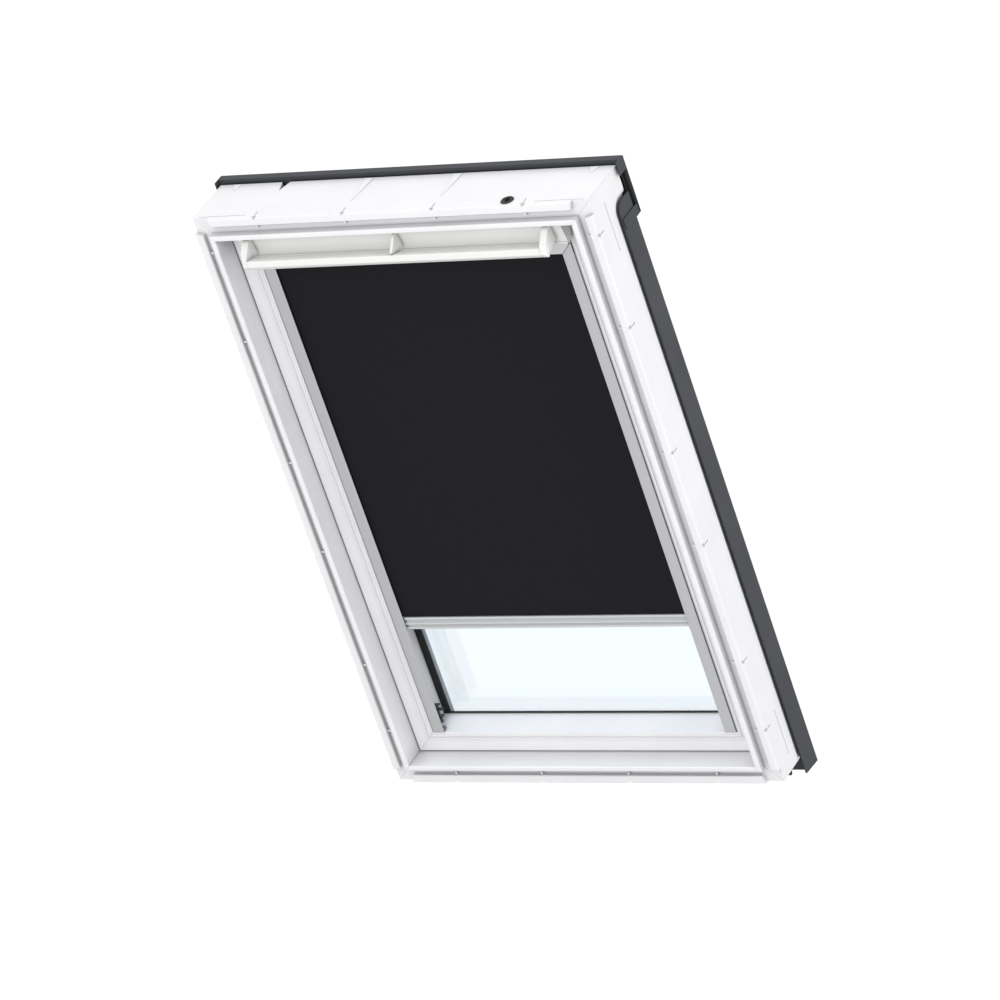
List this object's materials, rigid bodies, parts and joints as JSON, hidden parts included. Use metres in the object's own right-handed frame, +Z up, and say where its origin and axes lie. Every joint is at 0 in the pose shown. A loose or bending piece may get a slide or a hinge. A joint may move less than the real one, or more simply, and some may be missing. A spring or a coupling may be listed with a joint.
{
  "type": "skylight window blind",
  "caption": "Centre-pivot roof window in a mitred frame, with a vent flap on a control bar and a blackout roller blind running in side channels.",
  "frame": {"origin": "centre of the frame's underside, on the outer face of its bottom rail", "axes": "+X to the right seen from the room, +Y outward through the glass to the roof side, +Z up along the window's height"},
  "size_m": [0.7926, 0.167, 1.225],
  "materials": {
    "frame_finish": "smooth white moulded polyurethane",
    "sash_finish": "smooth white moulded polyurethane",
    "flap_finish": "white coating over extruded aluminium",
    "cover_sheet": "matt grey coated sheet",
    "inner_cover_sheet": "matt black coated sheet",
    "seal_rubber": "black sealing rubber",
    "fitting_steel": "zinc plated",
    "spacer_metal": "matt grey spacer strip",
    "pane_glass": "clear glass",
    "blind_aluminium": "satin anodised",
    "blind_plastic": "moulded grey plastic",
    "blackout_cloth": "dark blackout cloth with a coated face"
  },
  "bodies": {
    "frame": {"frame_top_rail": "frame_finish", "frame_bottom_rail": "frame_finish", "frame_stile_right": "frame_finish", "frame_stile_left": "frame_finish", "frame_gasket": "seal_rubber", "cable_grommet": "seal_rubber", "striker_plate": "fitting_steel", "bolt_bush": "fitting_steel", "pivot_plate_right": "fitting_steel", "pivot_plate_left": "fitting_steel", "frame_side_cover_right": "cover_sheet", "frame_side_cover_left": "cover_sheet", "hood": "cover_sheet", "hood_clip_right": "cover_sheet", "hood_clip_left": "cover_sheet", "upper_inner_cover_right": "inner_cover_sheet", "upper_inner_cover_left": "inner_cover_sheet", "frame_bottom_cover": "cover_sheet"},
    "sash": {"sash_stile_right": "sash_finish", "sash_stile_left": "sash_finish", "sash_top_rail": "sash_finish", "sash_bottom_rail": "sash_finish", "pivot_bush_right": "fitting_steel", "pivot_bush_left": "fitting_steel", "inner_pane": "pane_glass", "outer_pane": "pane_glass", "spacer_bar": "spacer_metal", "glazing_gasket": "seal_rubber", "sash_cover_right": "cover_sheet", "sash_cover_left": "cover_sheet", "sash_cover_bottom": "cover_sheet", "sash_cover_top": "cover_sheet", "lock_case": "fitting_steel", "bolt_bracket": "fitting_steel", "flap_hinge_right": "fitting_steel", "flap_hinge_left": "fitting_steel", "blind_casing": "blind_aluminium", "casing_end_right": "blind_aluminium", "casing_end_left": "blind_aluminium", "blind_bracket_right": "fitting_steel", "blind_bracket_left": "fitting_steel", "spring_core": "blind_plastic", "side_channel_right": "blind_aluminium", "side_channel_left": "blind_aluminium", "channel_end_stop_right": "blind_plastic", "channel_end_stop_left": "blind_plastic"},
    "flap": {"vent_flap": "flap_finish", "control_bar": "flap_finish", "bar_web_middle": "flap_finish", "bar_arm_right": "flap_finish", "bar_arm_left": "flap_finish"},
    "latch": {"latch_bolt": "fitting_steel"},
    "bolt": {"barrel_bolt": "fitting_steel"},
    "roller": {"roller_tube": "blind_aluminium", "wound_fabric": "blackout_cloth", "idle_plug": "blind_plastic"},
    "blind": {"fabric": "blackout_cloth", "bottom_bar": "blind_aluminium", "bar_runner_right": "blind_plastic", "bar_runner_left": "blind_plastic"}
  },
  "joints": [
    {"name": "sash_pivot", "type": "hinge", "parent": "frame", "child": "sash", "pos_m": [0, 0.049, 0.589], "axis": [1, 0, 0], "range_deg": [0, 160]},
    {"name": "flap_hinge", "type": "hinge", "parent": "sash", "child": "flap", "pos_m": [0, 0.016, 1.099], "axis": [1, 0, 0], "range_deg": [0, 22]},
    {"name": "latch_slide", "type": "slide", "parent": "sash", "child": "latch", "axis": [0, 0, -1], "range_m": [0, 0.009]},
    {"name": "bolt_slide", "type": "slide", "parent": "sash", "child": "bolt", "axis": [0, 0, -1], "range_m": [0, 0.012]},
    {"name": "blind_slide", "type": "slide", "parent": "sash", "child": "blind", "axis": [0, 0, 1], "range_m": [-0.218, 0.725], "deforming": ["fabric"]},
    {"name": "roller_spin", "type": "hinge", "parent": "sash", "child": "roller", "pos_m": [0, 0.0399, 1.078], "axis": [1, 0, 0], "range_deg": [-3200, 965]}
  ],
  "couplings": [
    {"joint": "latch_slide", "follows": "flap_hinge", "m_per_rad": 0.02343},
    {"joint": "roller_spin", "follows": "blind_slide", "rad_per_m": -76.92}
  ]
}
